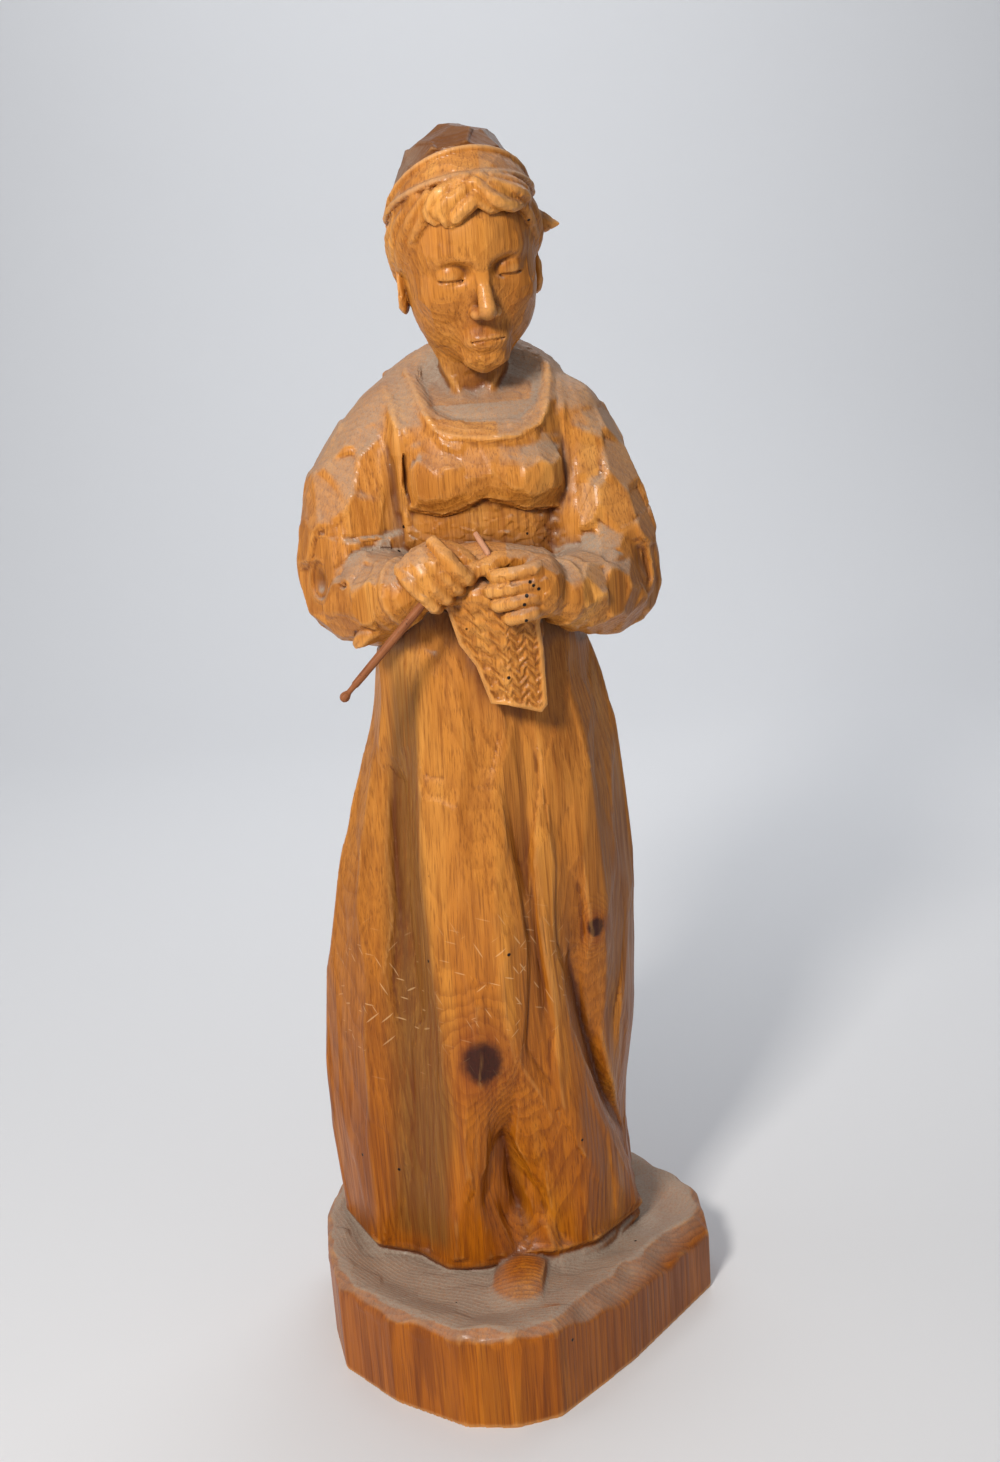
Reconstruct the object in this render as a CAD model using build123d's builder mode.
"""Carved wooden figurine: a standing woman who knits, on a faceted plinth.

Millimetres. +Z is up, the figure faces -Y, and the origin is the centre of the
plinth's underside. Left and right are the figure's own, so her right is at -X.
The figure and its plinth are one block of wood; the two needles are separate.
"""

from build123d import *
import os

os.makedirs("parts", exist_ok=True)

# Overall sizes
TOTAL_HEIGHT = 520.0
PLINTH_WIDTH = 177.0
PLINTH_DEPTH = 154.0
PLINTH_HEIGHT = 47.0
PLINTH_LOW_SIDE = 36.0
PLINTH_LEVEL_UNTIL_X = 20.0

# The plinth's corners, as fractions of its half width and half depth
PLINTH_CORNERS = [
    (-1.00, 0.40),
    (-0.97, 0.00),
    (-0.90, -0.36),
    (-0.64, -0.70),
    (-0.30, -0.96),
    (-0.06, -1.00),
    (0.16, -0.93),
    (0.53, -0.50),
    (1.00, 0.18),
    (0.98, 0.55),
    (0.68, 0.98),
    (0.00, 1.00),
    (-0.66, 0.96),
    (-0.94, 0.76),
]

# Level sections of the body: height, centre x, centre y, half width, half depth
SKIRT_SECTIONS = [
    (38.0, -10.0, 21.0, 68.0, 46.0),
    (60.0, -11.0, 21.0, 69.0, 47.0),
    (110.0, -10.0, 22.0, 70.0, 47.0),
    (160.0, -9.0, 22.0, 69.0, 46.0),
    (210.0, -4.0, 21.0, 65.0, 44.0),
    (260.0, 2.0, 19.0, 57.0, 42.0),
    (300.0, 5.0, 18.0, 50.0, 40.0),
]
TORSO_SECTIONS = [
    (300.0, 5.0, 18.0, 50.0, 40.0),
    (322.0, 4.0, 17.0, 43.0, 34.0),
    (345.0, 5.0, 16.0, 37.0, 30.0),
    (370.0, 7.0, 15.0, 39.0, 32.0),
    (395.0, 8.0, 13.0, 42.0, 36.0),
    (412.0, 9.0, 14.0, 40.0, 33.0),
    (426.0, 9.0, 14.0, 26.0, 22.0),
    (434.0, 9.0, 12.0, 16.0, 15.0),
]
HEAD_SECTIONS = [
    (430.0, 14.0, -14.0, 7.0, 9.0),
    (438.0, 13.0, -8.0, 17.0, 20.0),
    (450.0, 12.0, -3.0, 24.0, 28.0),
    (465.0, 10.0, 1.0, 28.5, 33.0),
    (485.0, 8.5, 4.0, 30.0, 35.0),
    (500.0, 8.0, 5.0, 27.0, 32.0),
    (513.0, 8.5, 5.0, 18.0, 22.0),
    (TOTAL_HEIGHT, 9.5, 4.0, 7.0, 9.0),
]
SHOE_SECTIONS = [
    (42.0, 2.0, -36.0, 14.0, 22.5),
    (50.0, 2.0, -36.0, 12.5, 20.5),
    (56.0, 2.0, -34.0, 6.0, 12.0),
]

NECK_RADIUS = 13.5
NECK_HEIGHT = 40.0
NECK_BASE = (9.0, 6.0, 405.0)

# The cap's brim lies in a plane that rises towards the forehead
BRIM_CENTRE = (9.0, 5.0, 487.0)
BRIM_NORMAL = (0.02, 0.30, 0.95)
BRIM_HALF_WIDTH = 31.5
BRIM_HALF_DEPTH = 36.5
BRIM_HEIGHT = 9.0

# The arms: points along each sleeve with the sleeve's radius there
RIGHT_ARM = [
    ((-24.0, 14.0, 404.0), 22.0),
    ((-41.0, 12.0, 378.0), 23.0),
    ((-45.0, 8.0, 345.0), 22.0),
    ((-33.0, -14.0, 345.0), 17.0),
    ((-22.0, -29.0, 350.0), 12.0),
]
LEFT_ARM = [
    ((40.0, 14.0, 402.0), 21.0),
    ((52.0, 12.0, 375.0), 22.0),
    ((58.0, 6.0, 342.0), 22.5),
    ((46.0, -14.0, 343.0), 16.0),
    ((35.0, -29.0, 347.0), 12.0),
]

# The fists, and the carved ledge of cuffs that joins them to the body
FIST_DEPTH = 24.0
FIST_CORNER = 7.0
RIGHT_FIST_CENTRE = (-12.0, -38.0, 355.0)
RIGHT_FIST_LENGTH = 30.0
RIGHT_FIST_HEIGHT = 29.0
LEFT_FIST_CENTRE = (22.0, -38.0, 348.5)
LEFT_FIST_LENGTH = 27.0
LEFT_FIST_HEIGHT = 27.0
LEDGE_CENTRE = (9.0, -24.0, 353.0)
LEDGE_SIZE = (36.0, 26.0, 26.0)

# The piece of knitting hangs in front of the skirt
KNITTING_BACK_Y = -12.0
KNITTING_THICKNESS = 22.0
KNITTING_CORNERS = [(-6.0, 346.0), (-1.0, 328.0), (7.0, 306.5), (27.0, 303.0), (26.5, 346.0)]

# The right needle: its hole's mouth is the start of its axis, which points out
NEEDLE_MOUTH = (-19.6, -44.0, 342.7)
NEEDLE_DIRECTION = (-31.8, -6.0, -32.0)
NEEDLE_HIDDEN_LENGTH = 20.0
NEEDLE_RADIUS = 1.85
NEEDLE_RADIUS_AT_STEP = 1.5
NEEDLE_STEP_AT = 37.0
NEEDLE_NECK_RADIUS = 1.1
NEEDLE_KNOB_CENTRE = 42.6
NEEDLE_KNOB_RADIUS = 2.0
NEEDLE_END_BEVEL = 0.6
BORE_CLEARANCE = 0.05
BORE_EXTRA_DEPTH = 0.5
BORE_LEAD_OUT = 12.0

# The left needle: a short tapered stub, jammed in its own hole
STUB_MOUTH = (8.3, -36.5, 364.0)
STUB_DIRECTION = (2.5, -10.0, -3.0)
STUB_HIDDEN_LENGTH = 14.0
STUB_VISIBLE_LENGTH = 8.0
STUB_RADIUS = 1.3
STUB_TIP_RADIUS = 0.9


def level_sections(sections):
    """Loft one closed form through level ellipses."""
    outlines = []
    for height, centre_x, centre_y, half_width, half_depth in sections:
        with BuildSketch(Plane.XY.offset(height)) as outline:
            with Locations((centre_x, centre_y)):
                Ellipse(half_width, half_depth)
        outlines.append(outline.sketch)
    loft(outlines)


def plinth():
    """A many-sided slab whose top falls away towards her left."""
    corners = [(x * PLINTH_WIDTH / 2, y * PLINTH_DEPTH / 2) for x, y in PLINTH_CORNERS]
    with BuildSketch(Plane.XY) as outline:
        Polygon(*corners, align=None)
    extrude(outline.sketch, amount=PLINTH_HEIGHT)
    fall = PLINTH_HEIGHT - PLINTH_LOW_SIDE
    run = PLINTH_WIDTH / 2 - PLINTH_LEVEL_UNTIL_X
    slope = Plane(
        origin=(PLINTH_LEVEL_UNTIL_X, 0, PLINTH_HEIGHT),
        z_dir=(fall, 0, run),
    )
    split(bisect_by=slope, keep=Keep.BOTTOM)


def sleeve(points):
    """A chain of tapered round lengths with a ball at each bend."""
    for (start, start_radius), (end, end_radius) in zip(points, points[1:]):
        length = (Vector(*end) - Vector(*start)).length
        along = Plane(origin=start, z_dir=Vector(*end) - Vector(*start))
        with Locations(along):
            Cone(
                start_radius,
                end_radius,
                length,
                align=(Align.CENTER, Align.CENTER, Align.MIN),
            )
        with Locations(start):
            Sphere(start_radius)


def fist(centre, length, height):
    """A closed hand: a rounded block that lies across the body."""
    across = Plane(origin=centre, x_dir=(0, 1, 0), z_dir=(1, 0, 0))
    with BuildSketch(across) as outline:
        RectangleRounded(FIST_DEPTH, height, FIST_CORNER)
    extrude(outline.sketch, amount=length / 2, both=True)


def drilled_hole(axis_plane, radius, depth, lead_out):
    """A blind round hole along the plane's normal, open towards its plus side."""
    with Locations(axis_plane.offset(-depth)):
        Cylinder(
            radius,
            depth + lead_out,
            align=(Align.CENTER, Align.CENTER, Align.MIN),
            mode=Mode.SUBTRACT,
        )


needle_axis = Axis(NEEDLE_MOUTH, NEEDLE_DIRECTION)
needle_mouth = Plane(origin=NEEDLE_MOUTH, z_dir=NEEDLE_DIRECTION)
needle_side = Plane(
    origin=NEEDLE_MOUTH,
    x_dir=NEEDLE_DIRECTION,
    z_dir=needle_mouth.x_dir,
)
stub_axis = Axis(STUB_MOUTH, STUB_DIRECTION)
stub_mouth = Plane(origin=STUB_MOUTH, z_dir=STUB_DIRECTION)
stub_side = Plane(
    origin=STUB_MOUTH,
    x_dir=STUB_DIRECTION,
    z_dir=stub_mouth.x_dir,
)

# The woman and her plinth, one block of wood
with BuildPart() as carved_figure:
    plinth()
    level_sections(SHOE_SECTIONS)
    level_sections(SKIRT_SECTIONS)
    level_sections(TORSO_SECTIONS)
    sleeve(RIGHT_ARM)
    sleeve(LEFT_ARM)
    with Locations(LEDGE_CENTRE):
        Box(*LEDGE_SIZE)
    fist(RIGHT_FIST_CENTRE, RIGHT_FIST_LENGTH, RIGHT_FIST_HEIGHT)
    fist(LEFT_FIST_CENTRE, LEFT_FIST_LENGTH, LEFT_FIST_HEIGHT)
    with BuildSketch(Plane.XZ.offset(-KNITTING_BACK_Y)):
        Polygon(*KNITTING_CORNERS, align=None)
    extrude(amount=KNITTING_THICKNESS)
    with Locations(NECK_BASE):
        Cylinder(
            NECK_RADIUS,
            NECK_HEIGHT,
            align=(Align.CENTER, Align.CENTER, Align.MIN),
        )
    level_sections(HEAD_SECTIONS)
    with BuildSketch(Plane(origin=BRIM_CENTRE, z_dir=BRIM_NORMAL)):
        Ellipse(BRIM_HALF_WIDTH, BRIM_HALF_DEPTH)
    extrude(amount=BRIM_HEIGHT)
    drilled_hole(
        needle_mouth,
        NEEDLE_RADIUS + BORE_CLEARANCE,
        NEEDLE_HIDDEN_LENGTH + BORE_EXTRA_DEPTH,
        BORE_LEAD_OUT,
    )
    drilled_hole(stub_mouth, STUB_RADIUS, STUB_HIDDEN_LENGTH, STUB_VISIBLE_LENGTH)
carved_figure.part.label = "carved_figure"
export_step(carved_figure.part, "parts/carved_figure.step")

# The right needle: a turned stick with a neck and a knob
with BuildPart() as right_needle:
    knob_start = NEEDLE_KNOB_CENTRE - (NEEDLE_KNOB_RADIUS**2 - NEEDLE_NECK_RADIUS**2) ** 0.5
    with BuildSketch(needle_side):
        with BuildLine():
            stick = Polyline(
                (NEEDLE_KNOB_CENTRE + NEEDLE_KNOB_RADIUS, 0),
                (-NEEDLE_HIDDEN_LENGTH, 0),
                (-NEEDLE_HIDDEN_LENGTH, NEEDLE_RADIUS - NEEDLE_END_BEVEL),
                (-NEEDLE_HIDDEN_LENGTH + NEEDLE_END_BEVEL, NEEDLE_RADIUS),
                (0, NEEDLE_RADIUS),
                (NEEDLE_STEP_AT, NEEDLE_RADIUS_AT_STEP),
                (NEEDLE_STEP_AT + NEEDLE_END_BEVEL, NEEDLE_NECK_RADIUS),
                (knob_start, NEEDLE_NECK_RADIUS),
            )
            ThreePointArc(
                stick @ 1,
                (NEEDLE_KNOB_CENTRE, NEEDLE_KNOB_RADIUS),
                stick @ 0,
            )
        make_face()
    revolve(axis=needle_axis)
right_needle.part.label = "right_needle"
export_step(right_needle.part, "parts/right_needle.step")

# The left needle: only its tip is left
with BuildPart() as left_needle:
    with BuildSketch(stub_side):
        with BuildLine():
            Polyline(
                (STUB_VISIBLE_LENGTH, 0),
                (-STUB_HIDDEN_LENGTH, 0),
                (-STUB_HIDDEN_LENGTH, STUB_RADIUS),
                (0, STUB_RADIUS),
                (STUB_VISIBLE_LENGTH, STUB_TIP_RADIUS),
                close=True,
            )
        make_face()
    revolve(axis=stub_axis)
left_needle.part.label = "left_needle"
export_step(left_needle.part, "parts/left_needle.step")

for part in (carved_figure.part, right_needle.part, left_needle.part):
    size = part.bounding_box().size
    print(f"{part.label}: {size.X:.1f} x {size.Y:.1f} x {size.Z:.1f} mm")
